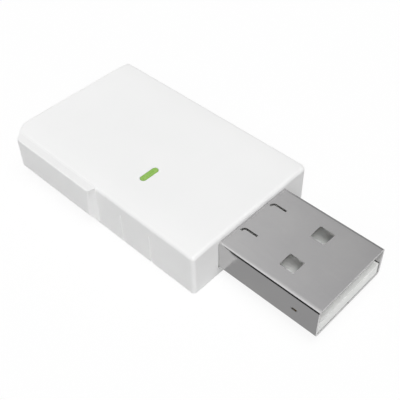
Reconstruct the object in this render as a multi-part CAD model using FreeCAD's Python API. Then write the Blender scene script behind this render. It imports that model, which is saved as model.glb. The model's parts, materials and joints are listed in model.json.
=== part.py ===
import FreeCAD, Part
import math
import os

# A USB stick that holds a short-range radio gateway: a slim two-part casing,
# a printed board inside it and a folded steel plug. Every size is in millimetres.
# +X runs along the plug to its tip, the side with the grip pad faces -Y, and +Z is up.
# The origin is at the middle of the footprint, on the surface that the stick lies on.

# Driving sizes of the outer form
casing_length = 32.6
casing_width = 20.2
casing_height = 6.6
plug_reach = 14.0
pad_rise = 1.1

# Casing: walls, roundings and the gently crowned top
side_wall = 1.2
rim_wall = 0.8
top_wall = 0.9
crown_width = 3.0
crown_drop = 0.2
top_edge_radius = 0.45
base_edge_radius = 0.3
front_near_corner_radius = 0.5
front_far_corner_radius = 0.85
pad_side_corner_radius = 2.0
plain_side_corner_radius = 0.5
fit_gap = 0.05
plug_gap = 0.02

# Grip pad and grip grooves on the -Y side
pad_start = 16.35
pad_ledge_dip = 0.18
pad_face_foot = 2.1
pad_toe = 0.5
pad_edge_radius = 0.15
pad_foot_radius = 1.5
pad_front_corner_radius = 0.3
pad_front_lean = 1.0
pad_end_sink = 0.03
groove_radius = 0.2
groove_top_radius = 0.1
groove_height = 4.8
groove_first = 7.1
groove_pitch = 4.9
groove_count = 2

# Base plate and its snap hooks
base_thickness = 1.0
base_gap = 0.1
hook_width = 3.0
hook_thickness = 0.7
hook_height = 3.0
hook_barb = 0.3
hook_barb_rise = 1.9
hook_barb_height = 0.7
hook_first = 8.2
hook_pitch = 15.4
hook_count = 2
rib_width = 0.8
rib_length = 9.0
rib_first = 12.4
rib_pitch = 14.0
rib_count = 2
label_length = 15.0
label_width = 11.0
label_corner_radius = 1.0
label_depth = 0.15
label_middle = 18.5

# Light bar in the top
light_length = 2.75
light_width = 0.85
light_from_front = 13.14
light_from_pad_side = 5.97
light_flange_margin = 0.5
light_flange_thickness = 0.5
light_gap = 0.3

# Printed board
board_thickness = 1.0
board_edge_gap = 0.3
board_corner_radius = 0.8
pin_radius = 0.6
pin_rise = 0.7
boss_radius = 1.2
front_pin_from_front_edge = 4.4
front_pin_from_near_edge = 2.3
back_pin_from_back_edge = 1.9
back_pin_from_far_edge = 2.0

# Plug: the shell is a standard size
plug_width = 12.0
plug_height = 4.5
plug_base_height = 1.35
plug_inside = 4.75
sheet = 0.3
sheet_bend_radius = 0.5
seam_width = 0.1
seam_lock_from_tip = 9.2
seam_lock_root = 1.0
seam_lock_head = 1.6
seam_lock_height = 1.0
window_size = 2.0
window_from_tip = 5.15
window_offset = 2.75
slit_width = 0.3
slit_from_casing = 0.6
slit_length = 1.95
slit_hook = 0.55
slit_offset = 2.6
slit_pocket_depth = 1.2
dimple_from_tip = 3.1
dimple_length = 0.9
dimple_width = 0.36
leg_length = 1.2
leg_reach = 1.45
leg_ear_height = 1.4
leg_below_board = 0.4

# Plug housing and contacts
tongue_thickness = 1.7
tongue_side_gap = 0.1
tongue_recess = 0.1
mouth_depth = 8.95
shoulder_from_tip = 5.0
shoulder_rise = 0.2
contact_width = 1.0
contact_thickness = 0.25
contact_gap = 0.02
contact_proud = 0.05
contact_tail = 1.95
contact_nose_drop = 0.5
outer_contact_offset = 3.5
outer_contact_setback = 1.1
inner_contact_offset = 1.0
inner_contact_setback = 2.1

# Board parts: length along X, width along Y and height
shield_size = (7.6, 9.2, 1.5)
shield_sheet = 0.2
radio_size = (5.0, 5.0, 0.85)
crystal_size = (3.2, 1.6, 0.7)
antenna_size = (2.0, 7.0, 0.8)
usb_chip_size = (4.0, 4.0, 0.85)
flash_size = (3.0, 3.0, 1.1)
regulator_size = (2.9, 1.6, 1.1)
protector_size = (1.3, 2.9, 1.0)
led_size = (0.8, 1.6, 0.65)
fuse_size = (3.2, 1.6, 0.8)
bead_size = (2.0, 1.25, 0.9)
capacitor_size = (1.0, 0.5, 0.5)
resistor_size = (1.0, 0.5, 0.35)

# Leads of the moulded parts, and rows of like parts
lead_thickness = 0.15
lead_width = 0.35
lead_reach = 0.5
flash_lead_pitch = 0.65
flash_lead_count = 4
power_lead_pitch = 1.9
power_lead_count = 2
capacitor_pitch = 1.4
capacitor_count = 4
resistor_pitch = 1.3
resistor_count = 3

# Places from the board's back edge and the casing's middle
shield_place = (6.9, 1.2)
antenna_place = (1.3, -2.6)

# Places inside the shield, across it from its middle
radio_offset = 0.7
crystal_offset = -3.1

# Places from the casing's front and middle
usb_chip_place = (10.4, 1.6)
fuse_place = (9.2, -2.2)
bead_place = (13.2, -1.4)

# Places from the casing's front and the board's far edge
flash_place = (14.6, 2.7)
protector_place = (9.4, 2.2)

# Places from the casing's front and the board's near edge
regulator_place = (17.0, 3.2)
capacitor_place = (20.4, 3.2)
resistor_place = (11.9, 2.0)

# Worked out from the sizes above
front_x = (casing_length + plug_reach) / 2 - plug_reach
back_x = front_x - casing_length
tip_x = front_x + plug_reach
middle_y = pad_rise / 2
near_y = middle_y - casing_width / 2
far_y = middle_y + casing_width / 2
pad_outer_y = near_y - pad_rise
pad_root_y = near_y + side_wall
roof_z = casing_height - top_wall
plug_rear_x = front_x - plug_inside
plug_top_z = plug_base_height + plug_height
board_front_x = plug_rear_x - base_gap
board_back_x = back_x + side_wall + board_edge_gap
board_half_width = casing_width / 2 - side_wall - board_edge_gap
board_near_y = middle_y - board_half_width
board_far_y = middle_y + board_half_width
plug_floor_z = plug_base_height + sheet
tongue_top_z = plug_floor_z + tongue_thickness
contact_top_z = tongue_top_z + contact_proud
board_top_z = contact_top_z - contact_thickness
board_z = board_top_z - board_thickness
light_x = front_x - light_from_front
light_y = near_y + light_from_pad_side
pin_places = (
    (board_front_x - front_pin_from_front_edge, board_near_y + front_pin_from_near_edge),
    (board_back_x + back_pin_from_back_edge, board_far_y - back_pin_from_far_edge),
)
contact_places = {
    "power_contact": (-outer_contact_offset, outer_contact_setback),
    "data_minus_contact": (-inner_contact_offset, inner_contact_setback),
    "data_plus_contact": (inner_contact_offset, inner_contact_setback),
    "ground_contact": (outer_contact_offset, outer_contact_setback),
}

# How far a cutting tool runs past what it cuts, and the slack in comparing heights and places
past = 1.0
slack = 0.01

solids = {}


def vector(x, y, z):
    return FreeCAD.Vector(x, y, z)


def block(x_low, x_high, y_low, y_high, z_low, z_high):
    size = (x_high - x_low, y_high - y_low, z_high - z_low)
    return Part.makeBox(*size, vector(x_low, y_low, z_low))


def post(x, y, z_low, z_high, radius):
    return Part.makeCylinder(radius, z_high - z_low, vector(x, y, z_low))


def rounded_wire(corners):
    """A closed wire through corners given as (point, radius), each rounded by an arc."""
    arcs = []
    count = len(corners)
    for index, (point, radius) in enumerate(corners):
        to_last = (corners[index - 1][0] - point).normalize()
        to_next = (corners[(index + 1) % count][0] - point).normalize()
        half_angle = to_last.getAngle(to_next) / 2
        setback = radius / math.tan(half_angle)
        inward = (to_last + to_next).normalize()
        middle = point + inward * (radius / math.sin(half_angle) - radius)
        arcs.append((point + to_last * setback, middle, point + to_next * setback, radius))
    edges = []
    for index, (start, middle, end, radius) in enumerate(arcs):
        if radius > 0:
            edges.append(Part.Arc(start, middle, end).toShape())
        next_start = arcs[(index + 1) % count][0]
        if not end.isEqual(next_start, slack / 10):
            edges.append(Part.LineSegment(end, next_start).toShape())
    return Part.Wire(edges)


def plan_prism(x_low, x_high, y_low, y_high, radii, z_low, z_high):
    """An upright prism. The radii are for the corners front near, front far, back far, back near."""
    places = ((x_high, y_low), (x_high, y_high), (x_low, y_high), (x_low, y_low))
    corners = [(vector(x, y, z_low), radius) for (x, y), radius in zip(places, radii)]
    return Part.Face(rounded_wire(corners)).extrude(vector(0, 0, z_high - z_low))


def section_prism(y_low, y_high, z_low, z_high, radius, x_low, x_high):
    """A rounded rectangle across the stick, drawn out along X."""
    places = ((y_low, z_low), (y_high, z_low), (y_high, z_high), (y_low, z_high))
    corners = [(vector(x_low, y, z), radius) for y, z in places]
    return Part.Face(rounded_wire(corners)).extrude(vector(x_high - x_low, 0, 0))


def profile_prism(points, x_low, x_high):
    """A sharp-cornered profile of (y, z) points, drawn out along X."""
    corners = [(vector(x_low, y, z), 0) for y, z in points]
    return Part.Face(rounded_wire(corners)).extrude(vector(x_high - x_low, 0, 0))


def bar(x, y, z_low, z_high, length, width):
    """An upright bar with round ends, lying along Y."""
    radii = (width / 2,) * 4
    return plan_prism(x - width / 2, x + width / 2, y - length / 2, y + length / 2, radii, z_low, z_high)


def casing_corners(inset):
    """Plan corner radii of the casing at a distance in from its outer wall."""
    front_radii = (front_near_corner_radius, front_far_corner_radius)
    radii = (*front_radii, plain_side_corner_radius, pad_side_corner_radius)
    return [max(radius - inset, base_gap) for radius in radii]


def casing_prism(inset, z_low, z_high):
    sides = (back_x + inset, front_x - inset, near_y + inset, far_y - inset)
    return plan_prism(*sides, casing_corners(inset), z_low, z_high)


def rim_edges(shape, z_low, z_high):
    """Edges between an upright wall and a face that closes it at a height."""
    found = []
    for edge in shape.Edges:
        if edge.BoundBox.ZMin < z_low - slack or edge.BoundBox.ZMax > z_high + slack:
            continue
        middle = edge.valueAt((edge.FirstParameter + edge.LastParameter) / 2)
        upright = 0
        for face in shape.ancestorsOfType(edge, Part.Face):
            normal = face.normalAt(*face.Surface.parameter(middle))
            if abs(normal.z) < slack:
                upright += 1
        if upright == 1:
            found.append(edge)
    return found


def crowned_body():
    """The casing's outer form: flat in the middle and falling gently to its long edges."""
    crown_radius = (crown_width ** 2 + crown_drop ** 2) / (2 * crown_drop)
    half_turn = math.asin(crown_width / crown_radius) / 2
    reach = crown_radius * math.sin(half_turn)
    drop = crown_radius * (1 - math.cos(half_turn))
    edge_z = casing_height - crown_drop
    near_flat = near_y + crown_width
    far_flat = far_y - crown_width
    points = {
        "near foot": vector(back_x, near_y, 0),
        "far foot": vector(back_x, far_y, 0),
        "far edge": vector(back_x, far_y, edge_z),
        "far crown": vector(back_x, far_flat + reach, casing_height - drop),
        "far flat": vector(back_x, far_flat, casing_height),
        "near flat": vector(back_x, near_flat, casing_height),
        "near crown": vector(back_x, near_flat - reach, casing_height - drop),
        "near edge": vector(back_x, near_y, edge_z),
    }
    edges = [
        Part.LineSegment(points["near foot"], points["far foot"]).toShape(),
        Part.LineSegment(points["far foot"], points["far edge"]).toShape(),
        Part.Arc(points["far edge"], points["far crown"], points["far flat"]).toShape(),
        Part.LineSegment(points["far flat"], points["near flat"]).toShape(),
        Part.Arc(points["near flat"], points["near crown"], points["near edge"]).toShape(),
        Part.LineSegment(points["near edge"], points["near foot"]).toShape(),
    ]
    section = Part.Face(Part.Wire(edges)).extrude(vector(casing_length, 0, 0))
    body = section.common(casing_prism(0, 0, casing_height)).Solids[0]
    body = body.makeFillet(top_edge_radius, rim_edges(body, edge_z, casing_height))
    return body.makeFillet(base_edge_radius, rim_edges(body, 0, 0))


def pad_plan(z, front_lean):
    """The pad's outline at a height: a back end slanting off the casing's corner and a leaning front end."""
    setback = (pad_side_corner_radius - pad_end_sink) / math.sqrt(2)
    end_x = back_x + pad_side_corner_radius - setback
    end_y = near_y + pad_side_corner_radius - setback
    front = front_x - pad_start
    root_lean = front_lean * (pad_root_y - near_y) / pad_rise
    return rounded_wire((
        (vector(end_x + pad_root_y - end_y, pad_root_y, z), 0),
        (vector(end_x, end_y, z), 0),
        (vector(end_x + end_y - pad_outer_y, pad_outer_y, z), 0),
        (vector(front - front_lean, pad_outer_y, z), pad_front_corner_radius),
        (vector(front + root_lean, pad_root_y, z), 0),
    ))


def grip_pad():
    """The raised pad: a ledge that dips to the casing, an upright outer face and an undercut."""
    ledge_z = casing_height - pad_ledge_dip
    corners = (
        (vector(back_x, pad_root_y, ledge_z), 0),
        (vector(back_x, near_y, ledge_z), 0),
        (vector(back_x, pad_outer_y, casing_height), pad_edge_radius),
        (vector(back_x, pad_outer_y, pad_face_foot), pad_foot_radius),
        (vector(back_x, near_y, pad_toe), 0),
        (vector(back_x, pad_root_y, pad_toe), 0),
    )
    profile = Part.Face(rounded_wire(corners)).extrude(vector(casing_length, 0, 0))
    plans = [pad_plan(0, pad_front_lean), pad_plan(casing_height, 0)]
    return profile.common(Part.makeLoft(plans, True, True))


def grip_grooves():
    """Fine upright grooves, open at the base and narrower towards the top."""
    grooves = []
    for index in range(groove_count):
        x = front_x - groove_first - index * groove_pitch
        foot = vector(x, near_y, 0)
        grooves.append(Part.makeCone(groove_radius, groove_top_radius, groove_height, foot))
    return Part.Compound(grooves)


def plug_opening():
    """The notch in the front wall that the shell passes through, open at the base."""
    half = plug_width / 2 + plug_gap
    top = plug_top_z + plug_gap
    radius = sheet_bend_radius + plug_gap
    corners = (
        (vector(plug_rear_x - base_gap, middle_y - half, -past), 0),
        (vector(plug_rear_x - base_gap, middle_y + half, -past), 0),
        (vector(plug_rear_x - base_gap, middle_y + half, top), radius),
        (vector(plug_rear_x - base_gap, middle_y - half, top), radius),
    )
    return Part.Face(rounded_wire(corners)).extrude(vector(plug_inside + base_gap + past, 0, 0))


def hook_places():
    """Hook middles along X, with the side of the casing as -1 or +1."""
    stations = [front_x - hook_first - index * hook_pitch for index in range(hook_count)]
    return [(x, side) for x in stations for side in (-1, 1)]


def hook_pocket(x, side):
    wall_y = middle_y + side * (casing_width / 2 - side_wall)
    deep_y = wall_y + side * (hook_barb + fit_gap)
    half = hook_width / 2 + base_gap
    z_low = base_thickness + hook_barb_rise - fit_gap
    z_high = base_thickness + hook_height + fit_gap
    low_y, high_y = sorted((wall_y - side * fit_gap, deep_y))
    return block(x - half, x + half, low_y, high_y, z_low, z_high)


def make_top_cover():
    cover = crowned_body().fuse(grip_pad())
    cover = cover.cut(grip_grooves())
    cover = cover.cut(casing_prism(rim_wall, -past, base_thickness))
    cover = cover.cut(casing_prism(side_wall, base_thickness - fit_gap, roof_z))
    cover = cover.cut(plug_opening())
    for x, side in hook_places():
        cover = cover.cut(hook_pocket(x, side))
    slot_length = light_length + 2 * fit_gap
    slot_width = light_width + 2 * fit_gap
    cover = cover.cut(bar(light_x, light_y, roof_z - past, casing_height + past, slot_length, slot_width))
    for x, y in pin_places:
        cover = cover.fuse(post(x, y, board_top_z + fit_gap, roof_z + top_wall / 2, boss_radius))
        bore_top = board_top_z + pin_rise + base_gap
        cover = cover.cut(post(x, y, board_top_z - past, bore_top, pin_radius + fit_gap))
    return cover.removeSplitter()


def snap_hook(x, side):
    """A springy arm on the base plate with a barb that catches in the side wall."""
    outer = middle_y + side * (casing_width / 2 - side_wall - fit_gap)
    inner = outer - side * hook_thickness
    barb = outer + side * (hook_barb - fit_gap)
    foot = base_thickness / 2
    barb_low = base_thickness + hook_barb_rise
    top = base_thickness + hook_height
    points = (
        (inner, foot), (outer, foot), (outer, barb_low), (barb, barb_low),
        (barb, barb_low + hook_barb_height / 2), (outer, top), (inner, top),
    )
    return profile_prism(points, x - hook_width / 2, x + hook_width / 2)


def label_recess():
    """The shallow bare field for a label on the underside."""
    x = front_x - label_middle
    sides = (x - label_length / 2, x + label_length / 2, middle_y - label_width / 2, middle_y + label_width / 2)
    return plan_prism(*sides, (label_corner_radius,) * 4, -past, label_depth)


def make_bottom_cover():
    inset = rim_wall + base_gap
    cover = casing_prism(inset, 0, base_thickness)
    lip_half = plug_width / 2
    lip_top = plug_base_height - fit_gap
    lip = block(front_x - side_wall, front_x, middle_y - lip_half, middle_y + lip_half, 0, lip_top)
    front_base = [e for e in lip.Edges if e.BoundBox.ZMax < slack and e.BoundBox.XMin > front_x - slack]
    cover = cover.fuse(lip.makeFillet(base_edge_radius, front_base))
    saddle_half = plug_width / 2 - sheet_bend_radius
    for side in (-1, 1):
        low_y, high_y = sorted((middle_y + side * saddle_half, middle_y + side * (saddle_half - side_wall)))
        saddle = (plug_rear_x, front_x - side_wall - base_gap, low_y, high_y, base_thickness / 2)
        cover = cover.fuse(block(*saddle, plug_base_height))
    for x, side in hook_places():
        cover = cover.fuse(snap_hook(x, side))
    for x, y in pin_places:
        cover = cover.fuse(post(x, y, base_thickness / 2, board_z, boss_radius))
        pin = Part.makeCylinder(pin_radius, board_thickness + pin_rise, vector(x, y, board_z))
        cover = cover.fuse(pin)
    cover = cover.cut(label_recess())
    for index in range(rib_count):
        x = front_x - rib_first - index * rib_pitch
        half = rib_length / 2
        sides = (x - rib_width / 2, x + rib_width / 2, middle_y - half, middle_y + half)
        cover = cover.fuse(block(*sides, base_thickness / 2, board_z))
    return cover.removeSplitter()


def make_light_pipe():
    """A clear bar, flush with the top, on a flange that seats under the top wall."""
    flange_length = light_length + 2 * light_flange_margin
    flange_width = light_width + 2 * light_flange_margin
    flange_z = roof_z - light_flange_thickness
    stem_z = board_top_z + led_size[2] + light_gap
    pipe = bar(light_x, light_y, flange_z, roof_z, flange_length, flange_width)
    return pipe.fuse(bar(light_x, light_y, stem_z, casing_height, light_length, light_width)).removeSplitter()


def leg_box(side, clearance, z_low, z_high):
    """The upright leg of the shell, or with clearance the slot in the board for it."""
    outer = middle_y + side * (plug_width / 2 + clearance)
    inner = middle_y + side * (plug_width / 2 - sheet - clearance)
    low_y, high_y = sorted((outer, inner))
    leg_front = board_front_x - leg_reach
    return block(leg_front - leg_length - clearance, leg_front + clearance, low_y, high_y, z_low, z_high)


def make_main_board():
    radii = (board_corner_radius,) * 4
    sides = (board_back_x, board_front_x, board_near_y, board_far_y)
    board = plan_prism(*sides, radii, board_z, board_top_z)
    for x, side in hook_places():
        edge = middle_y + side * (board_half_width + past)
        inner = middle_y + side * (casing_width / 2 - side_wall - fit_gap - hook_thickness - board_edge_gap)
        low_y, high_y = sorted((edge, inner))
        half = hook_width / 2 + board_edge_gap
        board = board.cut(block(x - half, x + half, low_y, high_y, board_z - past, board_top_z + past))
    for x, y in pin_places:
        board = board.cut(post(x, y, board_z - past, board_top_z + past, pin_radius + fit_gap))
    for side in (-1, 1):
        board = board.cut(leg_box(side, base_gap, board_z - past, board_top_z + past))
    return board.removeSplitter()


def hook_slit(y):
    """A fine hooked cut: a short leg across the plug, an arc and a long leg towards the tip."""
    x_start = front_x + slit_from_casing
    z_low = plug_top_z - sheet - past
    z_high = plug_top_z + past
    outer = slit_width / 2
    bend = 2 * slit_width
    low = y - slit_hook
    corners = (
        (vector(x_start - outer, low, z_low), 0),
        (vector(x_start + outer, low, z_low), 0),
        (vector(x_start + outer, y - outer, z_low), bend - slit_width),
        (vector(x_start + slit_length, y - outer, z_low), 0),
        (vector(x_start + slit_length, y + outer, z_low), 0),
        (vector(x_start - outer, y + outer, z_low), bend),
    )
    return Part.Face(rounded_wire(corners)).extrude(vector(0, 0, z_high - z_low))


def seam_lock(margin):
    """The dovetail that locks the two sides of the seam together, wider at its head."""
    x = tip_x - seam_lock_from_tip
    root = seam_lock_root / 2 + margin
    head = seam_lock_head / 2 + margin
    z = plug_base_height - past
    foot_y = middle_y - seam_width / 2
    head_y = middle_y + seam_lock_height + margin
    corners = [(vector(x + dx, y, z), 0) for dx, y in
               ((-root, foot_y), (root, foot_y), (head, head_y), (-head, head_y))]
    return Part.Face(rounded_wire(corners)).extrude(vector(0, 0, past + sheet + fit_gap))


def seam_gap():
    """The fine gap where the sheet's edges meet under the plug, round the dovetail."""
    half = seam_width / 2
    seam = (plug_rear_x - past, tip_x + past, middle_y - half, middle_y + half)
    straight = block(*seam, plug_base_height - past, plug_base_height + sheet + fit_gap)
    return straight.fuse(seam_lock(seam_width)).cut(seam_lock(0))


def make_plug_shell():
    """Folded sheet steel with a seam below, four windows, two lanced slits and two legs."""
    half = plug_width / 2
    sides = (middle_y - half, middle_y + half, plug_base_height, plug_top_z)
    shell = section_prism(*sides, sheet_bend_radius, plug_rear_x, tip_x)
    hollow = [sides[0] + sheet, sides[1] - sheet, sides[2] + sheet, sides[3] - sheet]
    shell = shell.cut(section_prism(*hollow, sheet_bend_radius - sheet, plug_rear_x - past, tip_x + past))
    shell = shell.cut(seam_gap())
    window_high = tip_x - window_from_tip
    for side in (-1, 1):
        y = middle_y + side * window_offset
        window = (window_high - window_size, window_high, y - window_size / 2, y + window_size / 2)
        shell = shell.cut(block(*window, plug_base_height - past, plug_top_z + past))
        shell = shell.cut(hook_slit(middle_y + side * slit_offset + slit_hook / 2))
    shell = shell.cut(side_dimples())
    ear_z = board_top_z + fit_gap
    for side in (-1, 1):
        ear = leg_box(side, 0, ear_z, ear_z + leg_ear_height)
        box = ear.BoundBox
        ear = block(box.XMin, plug_rear_x, box.YMin, box.YMax, ear_z, ear_z + leg_ear_height)
        leg = leg_box(side, 0, board_z - leg_below_board, ear_z + sheet)
        shell = shell.fuse(ear).fuse(leg)
    return shell.removeSplitter()


def side_dimples():
    """A small long hole in each side of the shell, near the tip."""
    x = tip_x - dimple_from_tip
    z = plug_base_height + plug_height / 2
    half_length = dimple_length / 2
    half_width = dimple_width / 2
    y_low = middle_y - plug_width / 2 - past
    places = (
        (x + half_length, z - half_width), (x + half_length, z + half_width),
        (x - half_length, z + half_width), (x - half_length, z - half_width),
    )
    corners = [(vector(px, y_low, pz), half_width) for px, pz in places]
    return Part.Face(rounded_wire(corners)).extrude(vector(0, plug_width + 2 * past, 0))


def contact_solid(y, setback, clearance):
    """A flat contact strip with its front end turned down into the tongue."""
    x_tail = board_front_x - contact_tail
    x_nose = tip_x - tongue_recess - setback
    top = contact_top_z + clearance
    half = contact_width / 2 + clearance
    strip = block(x_tail, x_nose, y - half, y + half, board_top_z, top)
    nose_z = board_top_z - contact_nose_drop
    nose = block(x_nose - contact_thickness, x_nose + clearance, y - half, y + half, nose_z, top)
    return strip.fuse(nose)


def slit_pocket(y):
    """The pocket in the insulator below a hooked slit, which lets the lanced sheet spring."""
    x_low = front_x + slit_from_casing - slit_width
    x_high = front_x + slit_from_casing + slit_length + slit_width
    half = slit_hook / 2 + slit_width
    z_top = plug_top_z - sheet
    return block(x_low, x_high, y - half, y + half, z_top - slit_pocket_depth, z_top)


def tongue_prism(x_low, x_high, z_high):
    """A slab on the shell's floor, its lower edges rounded to clear the bends in the sheet."""
    half = plug_width / 2 - sheet - tongue_side_gap
    corners = (
        (vector(x_low, middle_y - half, plug_floor_z), sheet_bend_radius - sheet),
        (vector(x_low, middle_y + half, plug_floor_z), sheet_bend_radius - sheet),
        (vector(x_low, middle_y + half, z_high), 0),
        (vector(x_low, middle_y - half, z_high), 0),
    )
    return Part.Face(rounded_wire(corners)).extrude(vector(x_high - x_low, 0, 0))


def make_plug_housing():
    """The insulator: a block that fills the back of the shell and the tongue in front of it."""
    block_front_x = tip_x - mouth_depth
    block_half = plug_width / 2 - sheet - fit_gap
    block_top_z = plug_top_z - sheet - fit_gap
    block_sides = (middle_y - block_half, middle_y + block_half, plug_floor_z, block_top_z)
    housing = section_prism(*block_sides, sheet_bend_radius, plug_rear_x + fit_gap, block_front_x)
    tongue_back_x = block_front_x - past
    shoulder_top_z = tongue_top_z + shoulder_rise
    tongue = tongue_prism(tongue_back_x, tip_x - tongue_recess, tongue_top_z)
    shoulder = tongue_prism(tongue_back_x, tip_x - shoulder_from_tip, shoulder_top_z)
    housing = housing.fuse(tongue).fuse(shoulder)
    for side in (-1, 1):
        housing = housing.cut(slit_pocket(middle_y + side * slit_offset))
    for y, setback in contact_places.values():
        housing = housing.cut(contact_solid(middle_y + y, setback, contact_gap))
    return housing.removeSplitter()


def on_board(size, x, y, lift=0.0):
    """A chip body on the board's top, with its middle at x and y."""
    z = board_top_z + lift
    return block(x - size[0] / 2, x + size[0] / 2, y - size[1] / 2, y + size[1] / 2, z, z + size[2])


def leaded_part(size, x, y, pitch, count, along_x):
    """A moulded body with rows of flat leads on two opposite sides."""
    part = on_board((size[0], size[1], size[2] - lead_thickness), x, y, lead_thickness)
    for index in range(count):
        offset = (index - (count - 1) / 2) * pitch
        if along_x:
            lead = on_board((lead_width, size[1] + 2 * lead_reach, lead_thickness), x + offset, y)
        else:
            lead = on_board((size[0] + 2 * lead_reach, lead_width, lead_thickness), x, y + offset)
        part = part.fuse(lead)
    return part.removeSplitter()


def shield_can(x, y):
    """A thin lid over the radio, open at the board."""
    can = on_board(shield_size, x, y)
    can = can.makeFillet(shield_sheet, [e for e in can.Edges if e.BoundBox.ZLength > shield_size[2] / 2])
    inner = (shield_size[0] - 2 * shield_sheet, shield_size[1] - 2 * shield_sheet, shield_size[2] - shield_sheet)
    return can.cut(on_board(inner, x, y))


def chip_row(size, x, y, pitch, count):
    """Like small parts in a row along X, each its own solid."""
    return Part.Compound([on_board(size, x - index * pitch, y) for index in range(count)])


def from_front(place):
    """A place measured from the casing's front and middle."""
    return front_x - place[0], middle_y + place[1]


def from_far_edge(place):
    """A place measured from the casing's front and the board's far edge."""
    return front_x - place[0], board_far_y - place[1]


def from_near_edge(place):
    """A place measured from the casing's front and the board's near edge."""
    return front_x - place[0], board_near_y + place[1]


def from_back(place):
    """A place measured from the board's back edge and the casing's middle."""
    return board_back_x + place[0], middle_y + place[1]


solids["top_cover"] = make_top_cover()
solids["bottom_cover"] = make_bottom_cover()
solids["light_pipe"] = make_light_pipe()
solids["main_board"] = make_main_board()
solids["plug_shell"] = make_plug_shell()
solids["plug_housing"] = make_plug_housing()
for name, (contact_offset, contact_setback) in contact_places.items():
    solids[name] = contact_solid(middle_y + contact_offset, contact_setback, 0).removeSplitter()

shield_x, shield_y = from_back(shield_place)
flash = (flash_size, *from_far_edge(flash_place), flash_lead_pitch, flash_lead_count)
regulator = (regulator_size, *from_near_edge(regulator_place), power_lead_pitch, power_lead_count)
protector = (protector_size, *from_far_edge(protector_place), power_lead_pitch, power_lead_count)
capacitors = (capacitor_size, *from_near_edge(capacitor_place), capacitor_pitch, capacitor_count)
resistors = (resistor_size, *from_near_edge(resistor_place), resistor_pitch, resistor_count)
solids["shield_can"] = shield_can(shield_x, shield_y)
solids["radio_chip"] = on_board(radio_size, shield_x, shield_y + radio_offset)
solids["crystal"] = on_board(crystal_size, shield_x, shield_y + crystal_offset)
solids["chip_antenna"] = on_board(antenna_size, *from_back(antenna_place))
solids["usb_chip"] = on_board(usb_chip_size, *from_front(usb_chip_place))
solids["resettable_fuse"] = on_board(fuse_size, *from_front(fuse_place))
solids["ferrite_bead"] = on_board(bead_size, *from_front(bead_place))
solids["status_led"] = on_board(led_size, light_x, light_y)
solids["flash_memory"] = leaded_part(*flash, False)
solids["surge_protector"] = leaded_part(*protector, False)
solids["voltage_regulator"] = leaded_part(*regulator, True)
solids["capacitors"] = chip_row(*capacitors)
solids["resistors"] = chip_row(*resistors)

os.makedirs("parts", exist_ok=True)
for name, solid in solids.items():
    solid.exportStep(os.path.join("parts", name + ".step"))
    print(name, "solids", len(solid.Solids), "valid", solid.isValid(), "volume", round(solid.Volume, 3))
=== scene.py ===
import bpy
import json
import math
from mathutils import Matrix, Vector


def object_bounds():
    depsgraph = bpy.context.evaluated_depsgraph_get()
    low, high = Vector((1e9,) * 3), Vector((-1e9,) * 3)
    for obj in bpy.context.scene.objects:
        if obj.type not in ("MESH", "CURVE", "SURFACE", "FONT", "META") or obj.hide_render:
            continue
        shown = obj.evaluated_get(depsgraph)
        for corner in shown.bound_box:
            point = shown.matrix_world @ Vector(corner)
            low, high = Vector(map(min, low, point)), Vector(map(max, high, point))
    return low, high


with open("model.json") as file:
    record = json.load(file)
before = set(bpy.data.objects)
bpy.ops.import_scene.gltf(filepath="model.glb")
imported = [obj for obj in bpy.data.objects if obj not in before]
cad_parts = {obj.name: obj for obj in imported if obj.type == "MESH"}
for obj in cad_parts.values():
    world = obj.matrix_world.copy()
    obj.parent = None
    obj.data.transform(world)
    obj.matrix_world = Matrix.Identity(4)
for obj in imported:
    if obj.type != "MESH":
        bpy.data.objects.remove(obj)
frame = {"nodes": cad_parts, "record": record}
cad_box = [list(corner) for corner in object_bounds()]
scene = bpy.context.scene


# Node helpers
def empty_tree(block):
    """The node tree of a material or world, switched on and cleared."""
    block.use_nodes = True
    block.node_tree.nodes.clear()
    return block.node_tree


def finish_tree(tree, kind, result):
    """Links a result to a new output node: Material or World."""
    output = tree.nodes.new("ShaderNodeOutput" + kind)
    tree.links.new(result, output.inputs["Surface"])


def add_node(tree, kind, **values):
    """A new shader node with values on its named inputs, whose names have _ for a space."""
    node = tree.nodes.new("ShaderNode" + kind)
    for name, value in values.items():
        node.inputs[name.replace("_", " ")].default_value = value
    return node


def add_math(tree, operation, first, second):
    """A Math node on a link and a number."""
    node = tree.nodes.new("ShaderNodeMath")
    node.operation = operation
    node.inputs[1].default_value = second
    tree.links.new(first, node.inputs[0])
    return node


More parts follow.
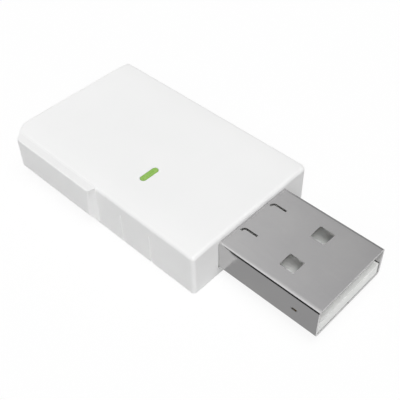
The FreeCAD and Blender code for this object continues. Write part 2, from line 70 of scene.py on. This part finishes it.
class Sheet:
    """A surface on a Principled shader, with short calls for the patterns used here.

    Patterns are laid out in object coordinates, which are metres. The usual noise keeps
    between 0.3 and 0.7, so tones and roughness are spread over that range.
    """

    noise_low = 0.3
    noise_high = 0.7

    def __init__(self, name):
        self.material = bpy.data.materials.new(name)
        self.tree = empty_tree(self.material)
        self.shader = self.add("BsdfPrincipled")
        self.place = self.add("TexCoord").outputs["Object"]
        finish_tree(self.tree, "Material", self.shader.outputs["BSDF"])

    def add(self, kind, **values):
        return add_node(self.tree, kind, **values)

    def link(self, source, target):
        self.tree.links.new(source, target)

    def stretched_along_x(self, scale):
        """Coordinates in which a pattern is drawn out along X by 1 / scale."""
        node = self.add("Mapping", Scale=(scale, 1.0, 1.0))
        self.link(self.place, node.inputs["Vector"])
        return node.outputs["Vector"]

    def noise(self, scale, detail=3, roughness=0.5, place=None):
        node = self.add("TexNoise", Scale=scale, Detail=detail, Roughness=roughness)
        self.link(place or self.place, node.inputs["Vector"])
        return node.outputs["Fac"]

    def cells(self, scale):
        node = self.add("TexVoronoi", Scale=scale)
        self.link(self.place, node.inputs["Vector"])
        return node.outputs["Distance"]

    def tones(self, pattern, dark, light, start=noise_low):
        """The base colour, from a dark tone to a light one."""
        node = self.add("ValToRGB")
        stops = zip(node.color_ramp.elements, ((start, dark), (self.noise_high, light)))
        for element, (position, colour) in stops:
            element.position = position
            element.color = (*colour, 1.0)
        self.link(pattern, node.inputs["Fac"])
        self.link(node.outputs["Color"], self.shader.inputs["Base Color"])

    def roughness(self, pattern, low, high):
        node = self.add("MapRange", From_Min=self.noise_low, From_Max=self.noise_high,
                        To_Min=low, To_Max=high)
        self.link(pattern, node.inputs["Value"])
        self.link(node.outputs["Result"], self.shader.inputs["Roughness"])

    def bump(self, height, strength, distance):
        node = self.add("Bump", Strength=strength, Distance=distance)
        self.link(height, node.inputs["Height"])
        self.link(node.outputs["Normal"], self.shader.inputs["Normal"])

    def set(self, **values):
        for name, value in values.items():
            self.shader.inputs[name.replace("_", " ")].default_value = value


# Materials
def casing_plastic():
    """White moulded plastic with a satin face: a very fine grain and a faint unevenness of tone."""
    s = Sheet("casing_plastic_satin")
    s.tones(s.noise(scale=90, detail=2), dark=(0.872, 0.874, 0.872), light=(0.892, 0.892, 0.890))
    s.roughness(s.noise(scale=2600), low=0.34, high=0.44)
    s.set(IOR=1.47)
    s.bump(s.noise(scale=5200, detail=2), strength=0.10, distance=0.00003)
    return s.material


def light_plastic():
    """Clear green light bar, which glows faintly."""
    s = Sheet("light_bar_lit")
    s.tones(s.noise(scale=900, detail=2), dark=(0.235, 0.445, 0.075), light=(0.29, 0.48, 0.105))
    s.roughness(s.noise(scale=2400, detail=2), low=0.22, high=0.34)
    s.set(IOR=1.5, Emission_Color=(0.25, 0.62, 0.08, 1.0), Emission_Strength=0.06)
    return s.material


def plug_steel():
    """Nickel-plated sheet: bright, with fine rolling lines along the plug and a slight unevenness."""
    s = Sheet("plug_steel_plated")
    lines = s.noise(scale=1500, detail=4, roughness=0.6, place=s.stretched_along_x(0.06))
    s.tones(s.noise(scale=170), dark=(0.598, 0.592, 0.598), light=(0.640, 0.634, 0.634))
    s.roughness(lines, low=0.13, high=0.21)
    s.set(Metallic=1.0)
    s.bump(lines, strength=0.06, distance=0.00002)
    return s.material


def plug_plastic():
    """Off-white moulded insulator, slightly glossy."""
    s = Sheet("plug_insulator")
    s.tones(s.noise(scale=260), dark=(0.85, 0.86, 0.845), light=(0.89, 0.895, 0.88))
    s.roughness(s.noise(scale=3000, detail=2), low=0.38, high=0.5)
    s.set(IOR=1.5)
    s.bump(s.noise(scale=4200, detail=2), strength=0.08, distance=0.00003)
    return s.material


def contact_gold():
    """Gold plate with the faint scrubs of being plugged in along its length."""
    s = Sheet("contact_gold_plate")
    rubs = s.noise(scale=2200, detail=4, roughness=0.6, place=s.stretched_along_x(0.05))
    s.tones(rubs, dark=(0.78, 0.56, 0.23), light=(0.86, 0.66, 0.32), start=0.35)
    s.roughness(rubs, low=0.18, high=0.34)
    s.set(Metallic=1.0)
    return s.material


def board_laminate():
    """Green solder mask with the weave of the glass cloth showing faintly through."""
    s = Sheet("board_solder_mask")
    s.tones(s.noise(scale=400), dark=(0.012, 0.085, 0.030), light=(0.020, 0.120, 0.045))
    s.roughness(s.noise(scale=2000, detail=2), low=0.3, high=0.42)
    s.bump(s.cells(scale=1400), strength=0.15, distance=0.00003)
    return s.material


def chip_plastic():
    """Black moulding compound, matt and finely speckled."""
    s = Sheet("chip_moulding")
    specks = s.noise(scale=4200, roughness=0.7)
    s.tones(specks, dark=(0.014, 0.014, 0.016), light=(0.034, 0.034, 0.036))
    s.roughness(specks, low=0.55, high=0.72)
    s.bump(specks, strength=0.2, distance=0.00002)
    return s.material


def shield_steel():
    """Tinned sheet with a cloudy, soft shine."""
    s = Sheet("shield_tinned")
    clouds = s.noise(scale=600, detail=4, roughness=0.6)
    s.tones(clouds, dark=(0.55, 0.55, 0.56), light=(0.66, 0.66, 0.665))
    s.roughness(clouds, low=0.28, high=0.42)
    s.set(Metallic=1.0)
    return s.material


def ceramic():
    """Fired ceramic: a warm grey-brown body with fine grains."""
    s = Sheet("ceramic_fired")
    grains = s.noise(scale=3200, detail=4, roughness=0.6)
    s.tones(grains, dark=(0.40, 0.33, 0.25), light=(0.52, 0.44, 0.34))
    s.roughness(grains, low=0.42, high=0.6)
    return s.material


makers = (casing_plastic, light_plastic, plug_steel, plug_plastic, contact_gold,
          board_laminate, chip_plastic, shield_steel, ceramic)
made = {maker.__name__: maker() for maker in makers}
for part in frame["record"]["subparts"]:
    for slot in frame["nodes"][part["node"]].material_slots:
        slot.material = made[part["material_slot"]]


# Floor and cards
def stage_plane(name, corners, material):
    """A flat piece of the studio, which is no part of the object."""
    mesh = bpy.data.meshes.new(name)
    mesh.from_pydata(corners, [], [(0, 1, 2, 3)])
    mesh.materials.append(material)
    plane = bpy.data.objects.new(name, mesh)
    scene.collection.objects.link(plane)
    return plane


def flat(x, y, z):
    """Corners of a level rectangle: x and y are pairs, low and high."""
    return (x[0], y[0], z), (x[1], y[0], z), (x[1], y[1], z), (x[0], y[1], z)


def upright_along_x(x, y, z):
    """Corners of an upright rectangle that runs along X: x and z are pairs."""
    return (x[0], y, z[0]), (x[1], y, z[0]), (x[1], y, z[1]), (x[0], y, z[1])


def upright_along_y(x, y, z):
    """Corners of an upright rectangle that runs along Y: y and z are pairs."""
    return (x, y[0], z[0]), (x, y[1], z[0]), (x, y[1], z[1]), (x, y[0], z[1])


def ray_sum(tree, weights, base=0.0):
    """A base plus the Light Path outputs, each times its weight."""
    path = tree.nodes.new("ShaderNodeLightPath")
    total = None
    for name, weight in weights.items():
        node = add_math(tree, "MULTIPLY_ADD", path.outputs["Is " + name + " Ray"], weight)
        node.inputs[2].default_value = base
        if total:
            tree.links.new(total, node.inputs[2])
        total = node.outputs[0]
    return total


def floor_material():
    """Pale matt floor that looks white to the camera and keeps a faint shadow."""
    material = bpy.data.materials.new("floor_white")
    tree = empty_tree(material)
    matt = add_node(tree, "BsdfDiffuse")
    paleness = ray_sum(tree, {"Camera": 0.15}, base=0.8)
    tree.links.new(paleness, matt.inputs["Color"])
    glow = add_node(tree, "Emission", Strength=1.0)
    mix = add_node(tree, "MixShader")
    glow_share = ray_sum(tree, {"Camera": 0.88, "Glossy": 0.3, "Transmission": 0.88})
    tree.links.new(glow_share, mix.inputs["Fac"])
    tree.links.new(matt.outputs[0], mix.inputs[1])
    tree.links.new(glow.outputs[0], mix.inputs[2])
    finish_tree(tree, "Material", mix.outputs[0])
    return material


def card_material(name, level, slope, most):
    """A glow whose level changes along the card's x and y, up to a most."""
    material = bpy.data.materials.new(name)
    tree = empty_tree(material)
    place = add_node(tree, "TexCoord").outputs["Object"]
    along = tree.nodes.new("ShaderNodeVectorMath")
    along.operation = "DOT_PRODUCT"
    along.inputs[1].default_value = (*slope, 0.0)
    tree.links.new(place, along.inputs[0])
    graded = add_math(tree, "ADD", along.outputs["Value"], level)
    capped = add_math(tree, "MINIMUM", graded.outputs[0], most)
    glow = add_node(tree, "Emission", Color=(1.0, 1.0, 1.0, 1.0))
    tree.links.new(capped.outputs[0], glow.inputs["Strength"])
    finish_tree(tree, "Material", glow.outputs[0])
    return material


def card(name, corners, level, slope=(0.0, 0.0), most=1.0):
    """A studio card that only shows in reflections."""
    plane = stage_plane(name, corners, card_material(name, level, slope, most))
    plane.visible_camera = False
    plane.visible_diffuse = False
    plane.visible_transmission = False
    plane.visible_shadow = False


# The floor and the cards on it are stacked just below the part
floor_z = -2e-5
grey_card_z = -1e-5
dark_card_z = -5e-6
floor_span = (-2, 2)
stage_plane("floor", flat(floor_span, floor_span, floor_z), floor_material())

# These grey cards give the plug's top, far edge, side and tip the tones of the photograph
tip_x = cad_box[1][0]
above = flat(x=(-0.45, 0.12), y=(-0.10, 0.5), z=0.3)
card("grey_card_above", above, level=0.735, slope=(-1.4, -1.35), most=0.72)
card("grey_card_behind", upright_along_x(x=(-0.6, 0.2), y=0.5, z=(0.0, 0.35)), level=0.25)
below = flat(x=(-0.03, tip_x - 0.0001), y=(-0.05, 0.06), z=grey_card_z)
card("grey_card_below", below, level=0.42)
card("grey_card_ahead", flat(x=(tip_x + 0.0022, 0.034), y=(-0.03, 0.03), z=grey_card_z), level=0.5)

# The two dark cards meet at their far ends and draw the dark line along the plug's near top edge
dark_near_y = -0.035
dark_near_x = (-0.010, 0.021)
dark_far_y = -0.1
dark_far_x = (-0.056, 0.010)
near_corners = [(x, dark_near_y, dark_card_z) for x in dark_near_x]
far_corners = [(x, dark_far_y, dark_card_z) for x in reversed(dark_far_x)]
card("dark_card_floor", near_corners + far_corners, level=0.02)
card("dark_card_side", upright_along_x(dark_far_x, dark_far_y, z=(0, 0.067)), level=0.02)

# This card darkens the top edge of the casing's front
card("grey_card_right", upright_along_y(x=0.3, y=(-0.1, 0.6), z=(0.03, 0.4)), level=0.3)


# World and lamps
def set_world(sky_level):
    """A dim white sky for light on the object, and plain white where it is seen."""
    world = bpy.data.worlds.new("studio")
    tree = empty_tree(world)
    sky = add_node(tree, "Background", Color=(1.0, 1.0, 1.0, 1.0))
    rest = 1.0 - sky_level
    strength = ray_sum(tree, {"Camera": rest, "Glossy": rest, "Transmission": rest}, base=sky_level)
    tree.links.new(strength, sky.inputs["Strength"])
    finish_tree(tree, "World", sky.outputs[0])
    scene.world = world


def soft_light(name, level, source, angle=40):
    """A very soft far light from a direction. Level 1 renders a white surface that faces it as white."""
    lamp = bpy.data.lights.new(name, "SUN")
    lamp.energy = level * math.pi
    lamp.angle = math.radians(angle)
    light = bpy.data.objects.new(name, lamp)
    light.rotation_euler = Vector(source).to_track_quat("Z", "Y").to_euler()
    scene.collection.objects.link(light)


set_world(sky_level=0.32)
soft_light("key", level=0.49, source=(0.20, -0.04, 0.98))
soft_light("fill", level=0.285, source=(0.45, -0.54, 0.71))

# Camera at the photograph's angle: its place in metres, and its own axes in the part's frame
eye = (0.04422, -0.043693, 0.066331)
right = Vector((0.72393, 0.68968, -0.01619))
down = Vector((0.48782, -0.52835, -0.69489))
forward = Vector((-0.48781, 0.49516, -0.71893))
lens = bpy.data.cameras.new("camera")
lens.lens = 63.95
lens.sensor_width = 36.0
lens.clip_start = 0.001
camera = bpy.data.objects.new("camera", lens)
turn = Matrix((right, -down, -forward)).transposed()
camera.matrix_world = Matrix.Translation(eye) @ turn.to_4x4()
scene.collection.objects.link(camera)
scene.camera = camera

scene.view_settings.view_transform = "Standard"
